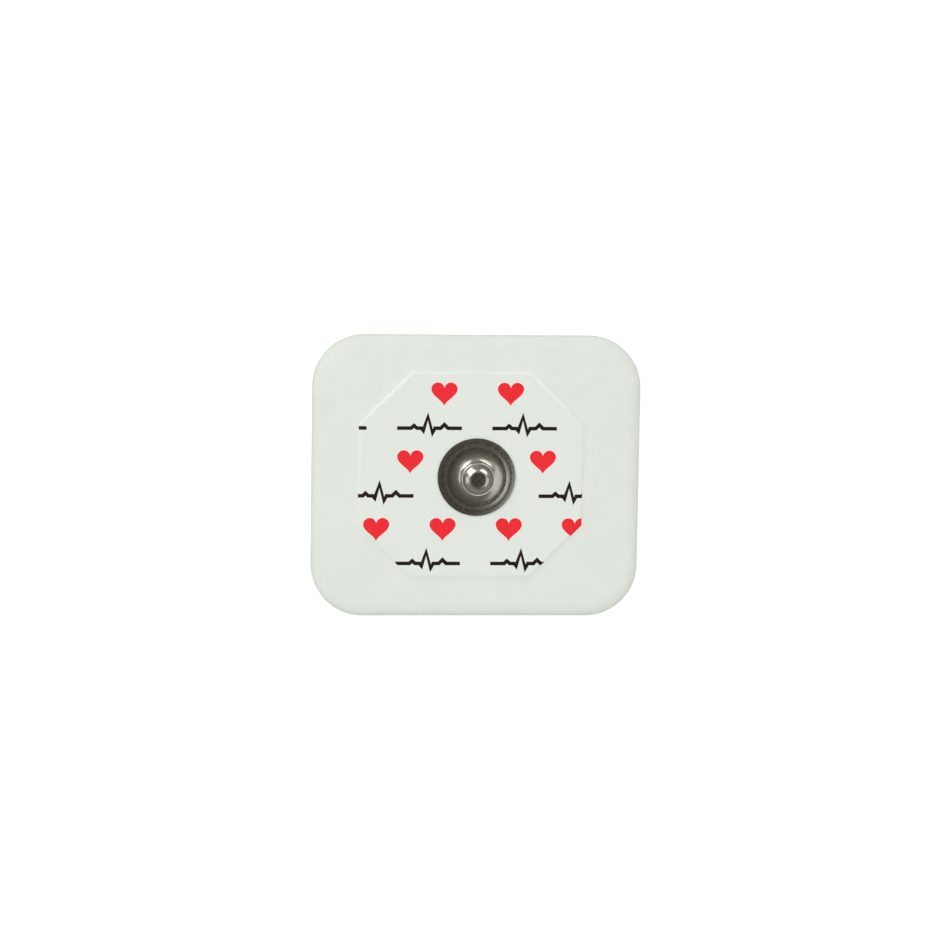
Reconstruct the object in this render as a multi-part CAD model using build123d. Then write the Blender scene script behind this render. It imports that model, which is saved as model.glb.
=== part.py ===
from build123d import *

import math
import os

# Disposable snap electrode for reading the heart's signal.
# A soft foam pad sticks to the skin. An octagonal film label lies on the pad and spans the round gel well
# in its middle. A snap stud drawn from sheet metal sits on the label and a sensor eyelet sits under it. The
# eyelet's post passes up through the label and is swaged out inside the stud's head, which clamps the film
# between the two. A disc of conductive gel fills the well and carries the signal from skin to eyelet.
#
# Millimetres. +Z points out of the stud's head and +X runs along the pad's longer side. The origin is on
# the stud's axis, in the sticky face that meets the skin.

# Foam pad
PAD_LENGTH = 40.0
PAD_WIDTH = 34.4
PAD_THICKNESS = 1.6
PAD_CORNER_RADIUS = 6.3
EDGE_ROLL_WIDTH = 1.8
EDGE_ROLL_DROP = 0.7
WELL_DIAMETER = 18.0

# Film label
LABEL_LENGTH = 27.4
LABEL_WIDTH = 25.3
LABEL_CORNER_CUT = 6.45
LABEL_THICKNESS = 0.22
LABEL_SHIFT_X = -0.7
LABEL_SHIFT_Y = 0.25

# Snap stud: one thickness of sheet from the rim to the crown. Turns are in degrees.
SHEET = 0.25
RIM_DIAMETER = 9.5
RIM_LAND = 0.6
STEP_RUN = 0.65
STEP_HEIGHT = 0.04
DISH_RADIUS = 4.6
DISH_TURN = 12.0
ROOT_RADIUS = 0.72
NECK_DIAMETER = 3.3
NECK_HEIGHT = 0.15
UNDERCUT_HEIGHT = 0.5
HEAD_DIAMETER = 4.0
HEAD_LAND = 0.7
BEND_RADIUS = 0.32
SHOULDER_RADIUS = 1.65
SHOULDER_TURN = 44.0

# Sensor eyelet
SENSOR_DIAMETER = 9.2
SENSOR_THICKNESS = 0.5
SENSOR_EDGE_CUT = 0.15

# Clearances
POST_IN_NECK = 0.05
TIP_IN_HEAD = 0.1
POST_IN_LABEL = 0.1
GEL_IN_WELL = 0.05
GEL_ROUND_SENSOR = 0.05

# Derived radii and levels. Stud levels count from the label's upper face, the others from the skin face.
RIM_RADIUS = RIM_DIAMETER / 2
NECK_RADIUS = NECK_DIAMETER / 2
SENSOR_RADIUS = SENSOR_DIAMETER / 2
LABEL_TOP = PAD_THICKNESS + LABEL_THICKNESS
DISH_SLOPE = math.radians(DISH_TURN)
ROOT_RUN = ROOT_RADIUS * (1 - math.sin(DISH_SLOPE))
DISH_OUTER_RADIUS = NECK_RADIUS + ROOT_RUN + DISH_RADIUS * math.sin(DISH_SLOPE)
DISH_RISE = DISH_RADIUS * (1 - math.cos(DISH_SLOPE))
ROOT_RISE = ROOT_RADIUS * math.cos(DISH_SLOPE)
NECK_LEVEL = SHEET + STEP_HEIGHT + DISH_RISE + ROOT_RISE
UNDERCUT_LEVEL = NECK_LEVEL + NECK_HEIGHT
HEAD_LEVEL = UNDERCUT_LEVEL + UNDERCUT_HEIGHT
SHOULDER_SLOPE = math.radians(SHOULDER_TURN)
BEND_RUN = BEND_RADIUS * (1 - math.sin(SHOULDER_SLOPE))
BEND_LEVEL = HEAD_LEVEL + HEAD_LAND + BEND_RADIUS * math.cos(SHOULDER_SLOPE)
CROWN_LEVEL = BEND_LEVEL + SHOULDER_RADIUS * (1 - math.cos(SHOULDER_SLOPE))
CROWN_RADIUS = HEAD_DIAMETER / 2 - BEND_RUN - SHOULDER_RADIUS * math.sin(SHOULDER_SLOPE)

# An S of two equal arcs joins the rim to the crest, and a cone joins the neck to the head.
STEP_TURN = 2 * math.degrees(math.atan2(STEP_HEIGHT, STEP_RUN))
STEP_BEND_RADIUS = STEP_RUN / (2 * math.sin(math.radians(STEP_TURN)))
UNDERCUT_SLOPE = math.atan2((HEAD_DIAMETER - NECK_DIAMETER) / 2, UNDERCUT_HEIGHT)

# The post fits the stud's neck, and its swaged tip fits the head from halfway up the undercut to the crown.
POST_RADIUS = NECK_RADIUS - SHEET - POST_IN_NECK
TIP_RADIUS = HEAD_DIAMETER / 2 - SHEET - TIP_IN_HEAD


def arc_after(line, radius, turn):
    """Arc that carries a line on from its end, and bends to the left for a positive turn."""
    return JernArc(line @ 1, line % 1, radius, turn)


def base_line(depth):
    """Stud's base from the rim to the neck, as radius and level, at a depth below the outer face."""
    rim = Line((RIM_RADIUS, SHEET - depth), (RIM_RADIUS - RIM_LAND, SHEET - depth))
    foot = arc_after(rim, STEP_BEND_RADIUS + depth, -STEP_TURN)
    brow = arc_after(foot, STEP_BEND_RADIUS - depth, STEP_TURN)
    crest = Line(brow @ 1, (DISH_OUTER_RADIUS, (brow @ 1).Y))
    dish = arc_after(crest, DISH_RADIUS + depth, -DISH_TURN)
    root = arc_after(dish, ROOT_RADIUS + depth, DISH_TURN - 90)
    return [rim, foot, brow, crest, dish, root]


def head_line(depth):
    """Stud's head from the neck to the axis, as radius and level, at a depth below the outer face."""
    neck_radius = NECK_RADIUS - depth
    head_radius = HEAD_DIAMETER / 2 - depth
    mitre = depth * math.tan(UNDERCUT_SLOPE / 2)
    neck = Line((neck_radius, NECK_LEVEL), (neck_radius, UNDERCUT_LEVEL + mitre))
    undercut = Line(neck @ 1, (head_radius, HEAD_LEVEL + mitre))
    land = Line(undercut @ 1, (head_radius, HEAD_LEVEL + HEAD_LAND))
    bend = arc_after(land, BEND_RADIUS - depth, 90 - SHOULDER_TURN)
    shoulder = arc_after(bend, SHOULDER_RADIUS - depth, SHOULDER_TURN)
    crown = Line(shoulder @ 1, (0, (shoulder @ 1).Y))
    return [neck, undercut, land, bend, shoulder, crown]


def turned(section, level):
    """Solid of revolution about the stud's axis, from a section in radius and level, lifted to a level."""
    return Pos(0, 0, level) * revolve(Plane.XZ * section, Axis.Z)


def foam_backing():
    """Die-cut foam pad with a soft rolled upper edge and the round gel well through it."""
    outline = RectangleRounded(PAD_LENGTH, PAD_WIDTH, PAD_CORNER_RADIUS)
    pad = extrude(outline, PAD_THICKNESS)
    path = outline.face().outer_wire()
    start = path @ 0
    along = path % 0
    outward = along.cross(Vector(0, 0, 1))
    if outward.dot(start) < 0:
        outward = -outward
    roll_level = PAD_THICKNESS - EDGE_ROLL_DROP
    roll_centre = (-EDGE_ROLL_WIDTH, roll_level)
    roll = EllipticalCenterArc(roll_centre, EDGE_ROLL_WIDTH, EDGE_ROLL_DROP, arc_size=90)
    corner = (EDGE_ROLL_WIDTH, PAD_THICKNESS + EDGE_ROLL_DROP)
    waste = make_face(
        [
            roll,
            Line(roll @ 1, (-EDGE_ROLL_WIDTH, corner[1])),
            Line((-EDGE_ROLL_WIDTH, corner[1]), corner),
            Line(corner, (corner[0], roll_level)),
            Line((corner[0], roll_level), roll @ 0),
        ]
    )
    section = Plane(origin=start, x_dir=outward, z_dir=outward.cross(Vector(0, 0, 1)))
    pad -= sweep(section * waste, path)
    return pad - extrude(Circle(WELL_DIAMETER / 2), PAD_THICKNESS)


def film_label():
    """Octagonal film on the pad, with the hole that the eyelet's post passes through."""
    sheet = Rectangle(LABEL_LENGTH, LABEL_WIDTH)
    octagon = chamfer(sheet.vertices(), LABEL_CORNER_CUT)
    blank = Pos(LABEL_SHIFT_X, LABEL_SHIFT_Y) * octagon - Circle(POST_RADIUS + POST_IN_LABEL)
    return Pos(0, 0, PAD_THICKNESS) * extrude(blank, LABEL_THICKNESS)


def snap_stud():
    """Drawn stud: rim, shallow step, dished foot, undercut neck and domed head, hollow inside."""
    outer = base_line(0) + head_line(0)
    inner = base_line(SHEET) + head_line(SHEET)
    rim_edge = Line(inner[0] @ 0, outer[0] @ 0)
    axis_edge = Line(outer[-1] @ 1, inner[-1] @ 1)
    return turned(make_face(outer + inner + [rim_edge, axis_edge]), LABEL_TOP)


def sensor_eyelet():
    """Coated eyelet: a round plate under the label and a post swaged out inside the stud's head."""
    plate_top = -LABEL_THICKNESS
    plate_bottom = plate_top - SENSOR_THICKNESS
    tip_top = CROWN_LEVEL - SHEET - TIP_IN_HEAD
    section = Polygon(
        (0, plate_bottom),
        (SENSOR_RADIUS - SENSOR_EDGE_CUT, plate_bottom),
        (SENSOR_RADIUS, plate_bottom + SENSOR_EDGE_CUT),
        (SENSOR_RADIUS, plate_top),
        (POST_RADIUS, plate_top),
        (POST_RADIUS, UNDERCUT_LEVEL + UNDERCUT_HEIGHT / 2),
        (TIP_RADIUS, HEAD_LEVEL + UNDERCUT_HEIGHT / 2),
        (TIP_RADIUS, HEAD_LEVEL + HEAD_LAND),
        (CROWN_RADIUS, tip_top),
        (0, tip_top),
        align=None,
    )
    return turned(section, LABEL_TOP)


def gel_pad():
    """Conductive gel that fills the well, flush with the skin face, with the plate sunk in its top."""
    disc = extrude(Circle(WELL_DIAMETER / 2 - GEL_IN_WELL), PAD_THICKNESS)
    recess = extrude(Circle(SENSOR_RADIUS + GEL_ROUND_SENSOR), SENSOR_THICKNESS)
    return disc - Pos(0, 0, PAD_THICKNESS - SENSOR_THICKNESS) * recess


os.makedirs("parts", exist_ok=True)
for node, solid in {
    "foam_backing": foam_backing(),
    "film_label": film_label(),
    "snap_stud": snap_stud(),
    "sensor_eyelet": sensor_eyelet(),
    "gel_pad": gel_pad(),
}.items():
    export_step(solid, f"parts/{node}.step")
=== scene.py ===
import math

import bmesh
import bpy
from mathutils import Matrix, Vector
from mathutils.geometry import delaunay_2d_cdt


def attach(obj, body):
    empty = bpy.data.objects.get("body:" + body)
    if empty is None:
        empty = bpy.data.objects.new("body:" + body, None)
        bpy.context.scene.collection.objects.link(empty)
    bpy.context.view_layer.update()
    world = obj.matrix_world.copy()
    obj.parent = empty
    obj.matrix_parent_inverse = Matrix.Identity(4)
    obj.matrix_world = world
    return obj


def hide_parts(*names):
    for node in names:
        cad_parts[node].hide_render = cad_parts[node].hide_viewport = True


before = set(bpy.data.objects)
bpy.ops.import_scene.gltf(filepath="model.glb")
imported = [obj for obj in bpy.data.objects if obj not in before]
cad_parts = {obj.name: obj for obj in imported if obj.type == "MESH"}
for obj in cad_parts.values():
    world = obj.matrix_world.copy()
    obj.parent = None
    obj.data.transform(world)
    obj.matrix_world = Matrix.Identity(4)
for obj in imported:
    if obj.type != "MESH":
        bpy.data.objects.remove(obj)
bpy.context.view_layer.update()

# Visual model of a disposable snap electrode. The foam pad, the printed label and the stud replace their CAD
# nodes, and the eyelet and the gel keep their CAD meshes. Shapes are worked out in millimetres and degrees,
# in the CAD model's frame, and MM turns them into metres where vertices are made.
MM = 0.001

# Sizes of the CAD model: foam pad, label, stud, and the clearances round the eyelet's post
PAD_LENGTH = 40.0
PAD_WIDTH = 34.4
PAD_THICKNESS = 1.6
PAD_CORNER_RADIUS = 6.3
EDGE_ROLL_WIDTH = 1.8
EDGE_ROLL_DROP = 0.7
WELL_DIAMETER = 18.0

LABEL_LENGTH = 27.4
LABEL_WIDTH = 25.3
LABEL_CORNER_CUT = 6.45
LABEL_THICKNESS = 0.22
LABEL_SHIFT = (-0.7, 0.25)
LABEL_TOP = PAD_THICKNESS + LABEL_THICKNESS

SHEET = 0.25
RIM_DIAMETER = 9.5
RIM_LAND = 0.6
STEP_RUN = 0.65
STEP_HEIGHT = 0.04
DISH_TURN = 12.0
ROOT_RADIUS = 0.72
NECK_DIAMETER = 3.3
UNDERCUT_HEIGHT = 0.5
HEAD_DIAMETER = 4.0
HEAD_LAND = 0.7
BEND_RADIUS = 0.32
SHOULDER_RADIUS = 1.65
SHOULDER_TURN = 44.0

POST_IN_NECK = 0.05
POST_IN_LABEL = 0.1
POST_RADIUS = NECK_DIAMETER / 2 - SHEET - POST_IN_NECK
POST_HOLE_RADIUS = POST_RADIUS + POST_IN_LABEL

# Finer forms that the CAD model lacks. The label's face falls to its edge and the foam rises to meet it
# there, the stud's rim falls to its edge, and the corners of its undercut are round. The dish is more open
# than in the CAD model and the neck is shorter by as much, so the stud keeps its height.
FILM_EDGE_WIDTH = 0.4
FILM_EDGE_DROP = 0.11
LIP_WIDTH = 0.75
LIP_RISE = LABEL_THICKNESS - FILM_EDGE_DROP
RIM_FALL = 5.5
DISH_RADIUS = 6.1
NECK_HEIGHT = 0.117
CORNER_RADIUS = 0.3

# Print on the label: rows of pulse traces and rows of hearts
PRINT_ROWS = range(-3, 3)
PRINT_UNITS = range(-3, 3)
PRINT_ROW_PITCH = 4.15
PRINT_RISE = 1.8
TRACE_REPEAT = 11.6
TRACE_WIDTH = 0.45
MITRE_LIMIT = 0.45
HEART_REPEAT = 8.1
HEART_WIDTH = 3.2
PULSE = [
    (0, 0), (1.7, 0), (2.05, 0.32), (2.4, 0), (2.95, 0), (3.2, -0.3), (3.75, 1.45),
    (4.3, -0.6), (4.6, 0), (5.3, 0), (5.75, 0.45), (6.2, 0), (7.9, 0),
]

# Steps of the meshes, and the angle from which an edge is shaded sharp
ARC_STEP = 4.0
STUD_SIDES = 160
HOLE_SIDES = 48
HEART_SIDES = 96
CORNER_STEPS = 32
SIDE_STEPS = 48
BOTTOM_STEPS = 6
ROLL_STEPS = 14
TOP_STEPS = 4
LIP_STEPS = 6
FILM_EDGE_STEPS = 8
SHARP_ANGLE = 40.0
TINY = 1e-6
SAME_POINT = 1e-5

# Material slots of the pad and of the label
FOAM, ADHESIVE = 0, 1
FILM, DARK_INK, RED_INK = 0, 1, 2

# Floor, lamps and sky, in metres
FLOOR_HALF = 3.0
FLOOR_LEVEL = -0.00005
FLOOR_COLOR = (0.88, 0.88, 0.88, 1)
FLOOR_GLOW = 0.42
LAMP_DISTANCE = 0.9
SKY_DARK_WAY = (0.095, -0.130, 0.987)

# Camera, fitted to the photograph's outline: distance and half of the width in view in metres, tilt from
# straight down, the tilt's direction in the image from right to down, and roll
VIEW_DISTANCE = 0.4818
VIEW_HALF_WIDTH = 0.058
VIEW_TILT = 9.29
VIEW_TILT_WAY = 54.36
VIEW_ROLL = 0.535
VIEW_CLIP = 0.01


# Meshes

def new_object(name, mesh, materials):
    """Object of a mesh, shaded smooth but for its sharp edges."""
    obj = bpy.data.objects.new(name, mesh)
    bpy.context.scene.collection.objects.link(obj)
    for mat in materials:
        mesh.materials.append(mat)
    mesh.polygons.foreach_set("use_smooth", [True] * len(mesh.polygons))
    mesh.set_sharp_from_angle(angle=math.radians(SHARP_ANGLE))
    return obj


def from_bmesh(name, bm, materials):
    """Object of a finished bmesh, with its normals turned outward."""
    bmesh.ops.recalc_face_normals(bm, faces=bm.faces)
    mesh = bpy.data.meshes.new(name)
    bm.to_mesh(mesh)
    bm.free()
    return new_object(name, mesh, materials)


def turns(count):
    """Angles that divide a full turn evenly."""
    return [2 * math.pi * k / count for k in range(count)]


def polar(radius, angle):
    """Point at a distance from the stud's axis, in one direction."""
    return radius * math.cos(angle), radius * math.sin(angle)


def between(one, two, share):
    """Points that lie a share of the way from one row of points to another."""
    return [(a + (c - a) * share, b + (d - b) * share) for (a, b), (c, d) in zip(one, two)]


def band(bm, one, two):
    """Faces between two closed rows of vertices."""
    faces = []
    for k in range(len(one)):
        j = (k + 1) % len(one)
        faces.append(bm.faces.new((one[k], one[j], two[j], two[k])))
    return faces


def walk(start, heading, moves):
    """Points of a chain of straight runs and tangent arcs; a positive turn bends to the left."""
    x, y = start
    points = [(x, y)]
    angle = math.radians(heading)
    for move in moves:
        if len(move) == 1:
            x += move[0] * math.cos(angle)
            y += move[0] * math.sin(angle)
            points.append((x, y))
            continue
        radius, turn = move
        side = 1 if turn > 0 else -1
        cx = x - side * radius * math.sin(angle)
        cy = y + side * radius * math.cos(angle)
        steps = max(2, math.ceil(abs(turn) / ARC_STEP))
        for k in range(1, steps + 1):
            now = angle + math.radians(turn) * k / steps
            points.append((cx + side * radius * math.sin(now), cy - side * radius * math.cos(now)))
        angle += math.radians(turn)
        x, y = points[-1]
    return points


def stud_line(depth, rim_fall):
    """The stud's section from the rim to the axis, at a depth inside the sheet's outer face.

    The rim is an arc that slopes down by rim_fall at its edge, or flat where that is 0.
    """
    fall = math.radians(rim_fall)
    rim = (RIM_LAND / math.sin(fall), rim_fall) if rim_fall else (RIM_LAND,)
    rim_drop = RIM_LAND * math.tan(fall / 2)
    step_turn = 2 * math.degrees(math.atan2(STEP_HEIGHT, STEP_RUN))
    step_radius = STEP_RUN / (2 * math.sin(math.radians(step_turn)))
    dish = math.radians(DISH_TURN)
    root_run = ROOT_RADIUS * (1 - math.sin(dish))
    dish_start = NECK_DIAMETER / 2 + root_run + DISH_RADIUS * math.sin(dish)
    crest = RIM_DIAMETER / 2 - RIM_LAND - STEP_RUN - dish_start
    undercut = (HEAD_DIAMETER - NECK_DIAMETER) / 2
    lean = math.atan2(undercut, UNDERCUT_HEIGHT)
    lean_turn = math.degrees(lean)
    cut_back = CORNER_RADIUS * math.tan(lean / 2)
    shoulder = math.radians(SHOULDER_TURN)
    bend_run = BEND_RADIUS * (1 - math.sin(shoulder))
    crown = HEAD_DIAMETER / 2 - bend_run - SHOULDER_RADIUS * math.sin(shoulder)
    moves = [
        rim,
        (step_radius + depth, -step_turn),
        (step_radius - depth, step_turn),
        (crest,),
        (DISH_RADIUS + depth, -DISH_TURN),
        (ROOT_RADIUS + depth, DISH_TURN - 90),
        (NECK_HEIGHT - cut_back,),
        (CORNER_RADIUS + depth, -lean_turn),
        (math.hypot(undercut, UNDERCUT_HEIGHT) - 2 * cut_back,),
        (CORNER_RADIUS - depth, lean_turn),
        (HEAD_LAND - cut_back,),
        (BEND_RADIUS - depth, 90 - SHOULDER_TURN),
        (SHOULDER_RADIUS - depth, SHOULDER_TURN),
        (crown,),
    ]
    return walk((RIM_DIAMETER / 2, SHEET - depth - rim_drop), 180 - rim_fall, moves)


def stud_mesh(name, materials):
    """Stud of one thickness of sheet: its closed section turned about its axis."""
    section = stud_line(0, RIM_FALL) + stud_line(SHEET, 0)[::-1]
    bm = bmesh.new()
    rings = []
    for r, z in section:
        level = (z + LABEL_TOP) * MM
        if r < TINY:
            rings.append([bm.verts.new((0, 0, level))])
            continue
        points = [polar(r, a) for a in turns(STUD_SIDES)]
        rings.append([bm.verts.new((x * MM, y * MM, level)) for x, y in points])
    for one, two in zip(rings, rings[1:] + rings[:1]):
        if len(one) == 1 and len(two) == 1:
            continue
        for k in range(STUD_SIDES):
            j = (k + 1) % STUD_SIDES
            corners = [one[k % len(one)], one[j % len(one)], two[j % len(two)], two[k % len(two)]]
            bm.faces.new(list(dict.fromkeys(corners)))
    return from_bmesh(name, bm, materials)


def pad_outline(inset):
    """Points round the pad's outline at an inset, evenly spread on sides and corners."""
    hx, hy = PAD_LENGTH / 2 - PAD_CORNER_RADIUS, PAD_WIDTH / 2 - PAD_CORNER_RADIUS
    r = PAD_CORNER_RADIUS - inset
    corners = [(hx, hy, 0), (-hx, hy, 90), (-hx, -hy, 180), (hx, -hy, 270)]
    points = []
    for i, (cx, cy, first) in enumerate(corners):
        for k in range(CORNER_STEPS + 1):
            dx, dy = polar(r, math.radians(first + 90 * k / CORNER_STEPS))
            points.append((cx + dx, cy + dy))
        nx, ny, turn = corners[(i + 1) % 4]
        dx, dy = polar(r, math.radians(turn))
        x0, y0 = points[-1]
        x1, y1 = nx + dx, ny + dy
        for k in range(1, SIDE_STEPS):
            points.append((x0 + (x1 - x0) * k / SIDE_STEPS, y0 + (y1 - y0) * k / SIDE_STEPS))
    return points


def label_reach(angle, outset):
    """Distance from the stud's axis to the label's edge, moved out by an outset, in one direction."""
    hx, hy = LABEL_LENGTH / 2, LABEL_WIDTH / 2
    diagonal = (hx + hy - LABEL_CORNER_CUT) / math.sqrt(2)
    shift = Vector(LABEL_SHIFT)
    ray = Vector(polar(1, angle))
    reaches = []
    for k, a in enumerate(turns(8)):
        normal = Vector(polar(1, a))
        if normal.dot(ray) > TINY:
            side = (hx, diagonal, hy, diagonal)[k % 4] + outset + normal.dot(shift)
            reaches.append(side / normal.dot(ray))
    return min(reaches)


def foam_mesh(name, materials):
    """Foam pad: flat underside, rolled upper edge, low lip round the pressed-in label, round well."""
    outline = pad_outline(0)
    angles = [math.atan2(y, x) for x, y in outline]
    well = [polar(WELL_DIAMETER / 2, a) for a in angles]
    lips = []
    for k in range(LIP_STEPS + 1):
        outset = LIP_WIDTH * (1 - k / LIP_STEPS)
        lips.append([polar(label_reach(a, outset), a) for a in angles])
    rows = [(well, 0)]
    for k in range(1, BOTTOM_STEPS + 1):
        rows.append((between(well, outline, k / BOTTOM_STEPS), 0))
    for k in range(ROLL_STEPS + 1):
        a = math.pi / 2 * k / ROLL_STEPS
        row = pad_outline(EDGE_ROLL_WIDTH * (1 - math.cos(a)))
        rows.append((row, PAD_THICKNESS - EDGE_ROLL_DROP + EDGE_ROLL_DROP * math.sin(a)))
    roll_end = pad_outline(EDGE_ROLL_WIDTH)
    for k in range(1, TOP_STEPS + 1):
        rows.append((between(roll_end, lips[0], k / TOP_STEPS), PAD_THICKNESS))
    for k in range(1, LIP_STEPS + 1):
        rows.append((lips[k], PAD_THICKNESS + LIP_RISE * (k / LIP_STEPS) ** 2))
    rows.append((lips[-1], PAD_THICKNESS))
    rows.append((well, PAD_THICKNESS))
    bm = bmesh.new()
    verts = [[bm.verts.new((x * MM, y * MM, z * MM)) for x, y in row] for row, z in rows]
    for i, (one, two) in enumerate(zip(verts, verts[1:] + verts[:1])):
        for face in band(bm, one, two):
            face.material_index = ADHESIVE if i < BOTTOM_STEPS else FOAM
    return from_bmesh(name, bm, materials)


def octagon(inset):
    """Corners of the label at an inset, relative to the stud's axis."""
    hx, hy = LABEL_LENGTH / 2 - inset, LABEL_WIDTH / 2 - inset
    cut = LABEL_CORNER_CUT - inset * (2 - math.sqrt(2))
    sx, sy = LABEL_SHIFT
    corners = [
        (hx, hy - cut), (hx - cut, hy), (cut - hx, hy), (-hx, hy - cut),
        (-hx, cut - hy), (cut - hx, -hy), (hx - cut, -hy), (hx, cut - hy),
    ]
    return [(x + sx, y + sy) for x, y in corners]


def edge_distance(x, y):
    """How far inside the label's nearest side a point lies."""
    hx, hy = LABEL_LENGTH / 2, LABEL_WIDTH / 2
    dx, dy = abs(x - LABEL_SHIFT[0]), abs(y - LABEL_SHIFT[1])
    return min(hx - dx, hy - dy, (hx + hy - LABEL_CORNER_CUT - dx - dy) / math.sqrt(2))


def heart(cx, cy, width):
    """Heart outline from the usual sine curve, which is 32 units wide and centred 2.5 below its zero."""
    unit = width / 32
    points = []
    for t in turns(HEART_SIDES):
        x = 16 * math.sin(t) ** 3
        y = 13 * math.cos(t) - 5 * math.cos(2 * t) - 2 * math.cos(3 * t) - math.cos(4 * t)
        points.append((cx - unit * x, cy + unit * (y + 2.5)))
    return points


def stroke(points, width):
    """Outline of a mitred stroke along a run of points."""
    left, right = [], []
    for i, (x, y) in enumerate(points):
        before = Vector(points[i]) - Vector(points[i - 1]) if i else None
        after = Vector(points[i + 1]) - Vector(points[i]) if i + 1 < len(points) else None
        a = (before or after).normalized()
        b = (after or before).normalized()
        mid = (a + b).normalized()
        normal = Vector((-mid.y, mid.x))
        reach = width / 2 / max(MITRE_LIMIT, normal.dot(Vector((-a.y, a.x))))
        left.append((x + normal.x * reach, y + normal.y * reach))
        right.append((x - normal.x * reach, y - normal.y * reach))
    return right + left[::-1]


def print_shapes():
    """Rows of dark pulse traces between rows of red hearts; each row of a kind is shifted from the last."""
    shapes = []
    for row in PRINT_ROWS:
        y = PRINT_RISE + row * PRINT_ROW_PITCH
        trace_row = row % 2 == 1
        repeat = TRACE_REPEAT if trace_row else HEART_REPEAT
        shift = repeat / 2 if row % 4 in (1, 2) else 0
        for unit in PRINT_UNITS:
            x = unit * repeat + shift
            if trace_row:
                trace = [(x + px - PULSE[-1][0] / 2, y + py) for px, py in PULSE]
                shapes.append((stroke(trace, TRACE_WIDTH), DARK_INK))
            else:
                shapes.append((heart(x, y, HEART_WIDTH), RED_INK))
    return shapes


def ordered_loop(edges):
    """Vertices of a closed loop of edges, in order."""
    loop = list(edges[0].verts)
    links = {}
    for edge in edges:
        for v in edge.verts:
            links.setdefault(v, []).append(edge)
    while True:
        ahead = [e.other_vert(loop[-1]) for e in links[loop[-1]]]
        step = ahead[0] if ahead[0] is not loop[-2] else ahead[1]
        if step is loop[0]:
            return loop
        loop.append(step)


def label_mesh(name, materials):
    """Film label with its print set in its upper face, which falls softly to the cut edge."""
    hole = [polar(POST_HOLE_RADIUS, a) for a in turns(HOLE_SIDES)]
    outlines = [(octagon(0), FILM), (hole, FILM)]
    label_at, hole_at = 0, 1
    for k in range(1, FILM_EDGE_STEPS + 2):
        outlines.append((octagon(FILM_EDGE_WIDTH * k / FILM_EDGE_STEPS), FILM))
    outlines.extend(print_shapes())
    verts, faces = [], []
    for outline, _ in outlines:
        start = len(verts)
        verts.extend(Vector(p) for p in outline)
        faces.append(list(range(start, start + len(outline))))
    points, _, tris, _, _, covers = delaunay_2d_cdt(verts, [], faces, 0, SAME_POINT)
    bm = bmesh.new()
    top = []
    for p in points:
        share = max(0, 1 - edge_distance(p.x, p.y) / FILM_EDGE_WIDTH)
        z = LABEL_TOP - FILM_EDGE_DROP * share ** 2
        top.append(bm.verts.new((p.x * MM, p.y * MM, z * MM)))
    for tri, covered_by in zip(tris, covers):
        if label_at in covered_by and hole_at not in covered_by:
            face = bm.faces.new([top[i] for i in tri])
            face.material_index = max(outlines[i][1] for i in covered_by)
    bmesh.ops.delete(bm, geom=[v for v in bm.verts if not v.link_faces], context="VERTS")
    rim, hole_rim = [], []
    for edge in bm.edges:
        if edge.is_boundary:
            near_axis = edge.verts[0].co.xy.length < 2 * POST_HOLE_RADIUS * MM
            (hole_rim if near_axis else rim).append(edge)
    low = []
    for loop in (ordered_loop(rim), ordered_loop(hole_rim)):
        below = [bm.verts.new((v.co.x, v.co.y, PAD_THICKNESS * MM)) for v in loop]
        band(bm, loop, below)
        low.extend(bm.edges.get((v, below[k - 1])) for k, v in enumerate(below))
    bmesh.ops.triangle_fill(bm, use_beauty=True, edges=low)
    return from_bmesh(name, bm, materials)


# Materials. Textures use object coordinates, in metres, and so do the bumps' distances.

def material(name, color, roughness, metallic=0.0):
    """New node material, with its tree and its shader."""
    mat = bpy.data.materials.new(name)
    mat.use_nodes = True
    shader = mat.node_tree.nodes["Principled BSDF"]
    shader.inputs["Base Color"].default_value = (*color, 1)
    shader.inputs["Roughness"].default_value = roughness
    shader.inputs["Metallic"].default_value = metallic
    return mat, mat.node_tree, shader


def texture(tree, kind, scale, **inputs):
    """Texture node in object coordinates."""
    coords = tree.nodes.new("ShaderNodeTexCoord")
    node = tree.nodes.new(kind)
    node.inputs["Scale"].default_value = scale
    for key, value in inputs.items():
        node.inputs[key].default_value = value
    tree.links.new(coords.outputs["Object"], node.inputs["Vector"])
    return node


def ramp(tree, source, stops):
    """Colour that follows a value through stops of place and colour."""
    node = tree.nodes.new("ShaderNodeValToRGB")
    while len(node.color_ramp.elements) < len(stops):
        node.color_ramp.elements.new(0.5)
    for element, (place, color) in zip(node.color_ramp.elements, stops):
        element.position = place
        element.color = (*color, 1)
    tree.links.new(source, node.inputs["Fac"])
    return node.outputs["Color"]


def tint(tree, shader, source, stops):
    """Base colour that follows a texture."""
    tree.links.new(ramp(tree, source, stops), shader.inputs["Base Color"])


def bump(tree, shader, height, strength, distance):
    """Relief that follows a texture."""
    node = tree.nodes.new("ShaderNodeBump")
    node.inputs["Strength"].default_value = strength
    node.inputs["Distance"].default_value = distance
    tree.links.new(height, node.inputs["Height"])
    tree.links.new(node.outputs["Normal"], shader.inputs["Normal"])


def foam_material():
    """Matt foam, with fine cells and a faint cloud in its colour."""
    mat, tree, shader = material("foam_cells", color=(0.765, 0.82, 0.767), roughness=0.85)
    cells = texture(tree, "ShaderNodeTexVoronoi", scale=3800)
    cloud = texture(tree, "ShaderNodeTexNoise", scale=260, Detail=3.0, Roughness=0.6)
    stops = [(0.3, (0.75, 0.806, 0.754)), (0.7, (0.78, 0.832, 0.781))]
    tint(tree, shader, cloud.outputs["Fac"], stops)
    bump(tree, shader, cells.outputs["Distance"], strength=0.25, distance=0.00006)
    return mat


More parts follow.
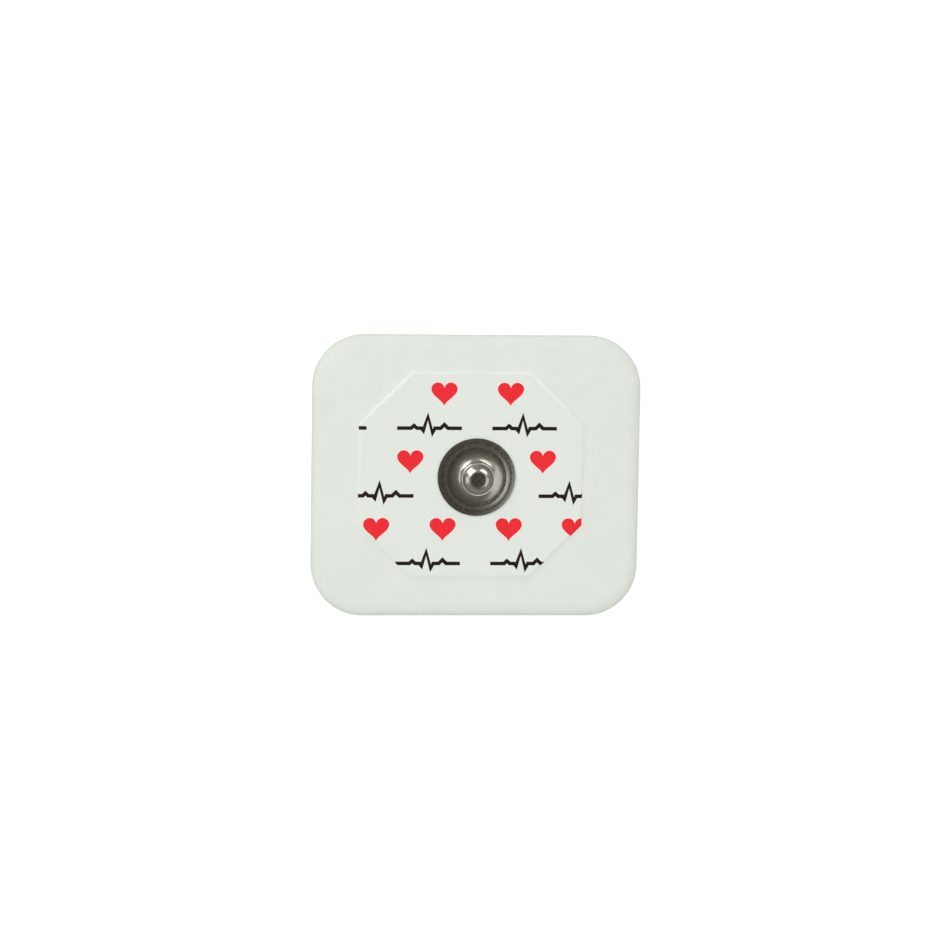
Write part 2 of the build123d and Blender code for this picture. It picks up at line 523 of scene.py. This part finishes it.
def adhesive_material():
    """Slightly yellow, tacky coat on the pad's lower face."""
    mat, tree, shader = material("tacky_adhesive", color=(0.74, 0.77, 0.70), roughness=0.3)
    cloud = texture(tree, "ShaderNodeTexNoise", scale=500, Detail=4.0)
    stops = [(0.3, (0.72, 0.75, 0.67)), (0.7, (0.77, 0.8, 0.73))]
    tint(tree, shader, cloud.outputs["Fac"], stops)
    bump(tree, shader, cloud.outputs["Fac"], strength=0.3, distance=0.00008)
    return mat


def film_material():
    """Satin film, not quite flat."""
    mat, tree, shader = material("label_film", color=(0.813, 0.867, 0.821), roughness=0.26)
    shader.inputs["Specular IOR Level"].default_value = 0.75
    cloud = texture(tree, "ShaderNodeTexNoise", scale=320, Detail=3.0)
    stops = [(0.3, (0.806, 0.86, 0.814)), (0.7, (0.82, 0.874, 0.828))]
    tint(tree, shader, cloud.outputs["Fac"], stops)
    bump(tree, shader, cloud.outputs["Fac"], strength=0.15, distance=0.00004)
    return mat


def ink_material(name, low, high):
    """Matt printing ink, with a fine grain between two tones."""
    mat, tree, shader = material(name, color=low, roughness=0.6)
    shader.inputs["Specular IOR Level"].default_value = 0.2
    grain = texture(tree, "ShaderNodeTexNoise", scale=5200, Detail=3.0, Roughness=0.7)
    tint(tree, shader, grain.outputs["Fac"], [(0.35, low), (0.65, high)])
    return mat


def metal_material():
    """Drawn and plated steel, with a grain in its colour and gloss and faint rings."""
    mat, tree, shader = material("drawn_steel", color=(0.6, 0.595, 0.53), roughness=0.2, metallic=1.0)
    grain = texture(tree, "ShaderNodeTexNoise", scale=2600, Detail=4.0, Roughness=0.65)
    stops = [(0.3, (0.55, 0.545, 0.48)), (0.7, (0.65, 0.645, 0.58))]
    tint(tree, shader, grain.outputs["Fac"], stops)
    stops = [(0.3, (0.14, 0.14, 0.14)), (0.7, (0.2, 0.2, 0.2))]
    tree.links.new(ramp(tree, grain.outputs["Fac"], stops), shader.inputs["Roughness"])
    rings = texture(tree, "ShaderNodeTexWave", scale=900, Distortion=4.0, Detail=2.0)
    rings.wave_type = "RINGS"
    rings.rings_direction = "Z"
    bump(tree, shader, rings.outputs["Fac"], strength=0.1, distance=0.00001)
    return mat


def sensor_material():
    """Dull silver and silver chloride coating."""
    mat, tree, shader = material("silver_coating", color=(0.42, 0.41, 0.39), roughness=0.5, metallic=0.4)
    grain = texture(tree, "ShaderNodeTexNoise", scale=3000, Detail=5.0)
    stops = [(0.35, (0.36, 0.35, 0.33)), (0.65, (0.48, 0.47, 0.45))]
    tint(tree, shader, grain.outputs["Fac"], stops)
    return mat


def gel_material():
    """Wet, half clear gel."""
    mat, tree, shader = material("clear_gel", color=(0.86, 0.92, 0.93), roughness=0.12)
    shader.inputs["Transmission Weight"].default_value = 0.5
    shader.inputs["IOR"].default_value = 1.36
    cloud = texture(tree, "ShaderNodeTexNoise", scale=420, Detail=2.0)
    stops = [(0.3, (0.82, 0.89, 0.9)), (0.7, (0.9, 0.95, 0.95))]
    tint(tree, shader, cloud.outputs["Fac"], stops)
    bump(tree, shader, cloud.outputs["Fac"], strength=0.2, distance=0.0001)
    return mat


def floor_material():
    """Pale floor that takes shadows, with a glow for the rays that see it straight or in metal and glass."""
    mat = bpy.data.materials.new("white_floor")
    mat.use_nodes = True
    tree = mat.node_tree
    tree.nodes.clear()
    diffuse = tree.nodes.new("ShaderNodeBsdfDiffuse")
    diffuse.inputs["Color"].default_value = FLOOR_COLOR
    path = tree.nodes.new("ShaderNodeLightPath")
    seen = path.outputs["Is Camera Ray"]
    for ray in ("Is Glossy Ray", "Is Transmission Ray"):
        either = tree.nodes.new("ShaderNodeMath")
        either.operation = "MAXIMUM"
        tree.links.new(seen, either.inputs[0])
        tree.links.new(path.outputs[ray], either.inputs[1])
        seen = either.outputs[0]
    strength = tree.nodes.new("ShaderNodeMath")
    strength.operation = "MULTIPLY"
    strength.inputs[1].default_value = FLOOR_GLOW
    tree.links.new(seen, strength.inputs[0])
    glow = tree.nodes.new("ShaderNodeEmission")
    tree.links.new(strength.outputs[0], glow.inputs["Strength"])
    both = tree.nodes.new("ShaderNodeAddShader")
    tree.links.new(diffuse.outputs[0], both.inputs[0])
    tree.links.new(glow.outputs[0], both.inputs[1])
    out = tree.nodes.new("ShaderNodeOutputMaterial")
    tree.links.new(both.outputs[0], out.inputs["Surface"])
    return mat


# Pieces

foam = foam_mesh("foam_pad", [foam_material(), adhesive_material()])
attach(foam, "root")
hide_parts("foam_backing")

label = label_mesh("printed_label", [
    film_material(),
    ink_material("dark_ink", (0.01, 0.004, 0.0025), (0.02, 0.009, 0.006)),
    ink_material("red_ink", (0.85, 0.014, 0.024), (0.92, 0.028, 0.04)),
])
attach(label, "root")
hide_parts("film_label")

stud = stud_mesh("steel_stud", [metal_material()])
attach(stud, "root")
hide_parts("snap_stud")

for node, make in [("sensor_eyelet", sensor_material), ("gel_pad", gel_material)]:
    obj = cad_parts[node]
    obj.data.materials.clear()
    obj.data.materials.append(make())

# Floor

floor_mesh = bpy.data.meshes.new("floor")
floor_signs = [(-1, -1), (1, -1), (1, 1), (-1, 1)]
floor_corners = [(x * FLOOR_HALF, y * FLOOR_HALF, FLOOR_LEVEL) for x, y in floor_signs]
floor_mesh.from_pydata(floor_corners, [], [(0, 1, 2, 3)])
floor = new_object("floor", floor_mesh, [floor_material()])

# Light. The sky is dark round the direction that the stud's flat faces mirror to the camera, and paler on
# all sides of it.

world = bpy.data.worlds.new("studio")
bpy.context.scene.world = world
world.use_nodes = True
world_tree = world.node_tree
coords = world_tree.nodes.new("ShaderNodeTexCoord")
nearness = world_tree.nodes.new("ShaderNodeVectorMath")
nearness.operation = "DOT_PRODUCT"
nearness.inputs[1].default_value = SKY_DARK_WAY
world_tree.links.new(coords.outputs["Generated"], nearness.inputs[0])
sky = ramp(world_tree, nearness.outputs["Value"], [
    (0.0, (0.13, 0.13, 0.125)),
    (0.35, (0.22, 0.215, 0.205)),
    (0.65, (0.32, 0.31, 0.29)),
    (0.88, (0.28, 0.265, 0.237)),
    (0.945, (0.165, 0.152, 0.132)),
    (0.98, (0.115, 0.105, 0.09)),
    (0.992, (0.08, 0.072, 0.06)),
    (0.9985, (0.03, 0.026, 0.02)),
])
world_tree.links.new(sky, world_tree.nodes["Background"].inputs["Color"])


def softbox(name, toward, size, power):
    """Rectangular lamp in a direction from the origin, which it faces."""
    data = bpy.data.lights.new(name, "AREA")
    data.shape = "RECTANGLE"
    data.size, data.size_y = size
    data.energy = power
    lamp = bpy.data.objects.new(name, data)
    place = Vector(toward).normalized() * LAMP_DISTANCE
    lamp.location = place
    lamp.rotation_euler = place.to_track_quat("Z", "Y").to_euler()
    bpy.context.scene.collection.objects.link(lamp)
    return lamp


softbox("key", toward=(-0.44, 0.46, 0.771), size=(0.42, 0.8), power=2.3)
softbox("second", toward=(0.38, 0.36, 0.852), size=(0.36, 0.34), power=0.73)
softbox("right_panel", toward=(0.402, -0.19, 0.8955), size=(0.34, 0.345), power=0.26)
softbox("left_panel", toward=(-0.62, -0.1, 0.78), size=(0.4, 0.5), power=0.42)
softbox("low_key", toward=(-0.52, 0.75, 0.38), size=(1.4, 0.4), power=0.4)
overhead = softbox("overhead", toward=(0, 0, 1), size=(2.6, 2.6), power=11.4)
overhead.visible_glossy = False

# Camera. The image plane leans about one level line, and the roll turns it from the floor's axes.

tilt, image_way = math.radians(VIEW_TILT), math.radians(VIEW_TILT_WAY)
floor_way = image_way - math.radians(VIEW_ROLL)
ahead = Vector((math.cos(floor_way), -math.sin(floor_way), 0))
across = Vector((-math.sin(floor_way), -math.cos(floor_way), 0))
rising = math.cos(tilt) * ahead + math.sin(tilt) * Vector((0, 0, 1))
right = math.cos(image_way) * rising - math.sin(image_way) * across
down = math.sin(image_way) * rising + math.cos(image_way) * across
back = right.cross(-down)
camera_data = bpy.data.cameras.new("camera")
camera_data.angle = 2 * math.atan(VIEW_HALF_WIDTH / VIEW_DISTANCE)
camera_data.clip_start = VIEW_CLIP
camera = bpy.data.objects.new("camera", camera_data)
facing = Matrix((right, -down, back)).transposed().to_4x4()
camera.matrix_world = Matrix.Translation(back * VIEW_DISTANCE) @ facing
bpy.context.scene.collection.objects.link(camera)
bpy.context.scene.camera = camera
bpy.context.scene.view_settings.view_transform = "Standard"
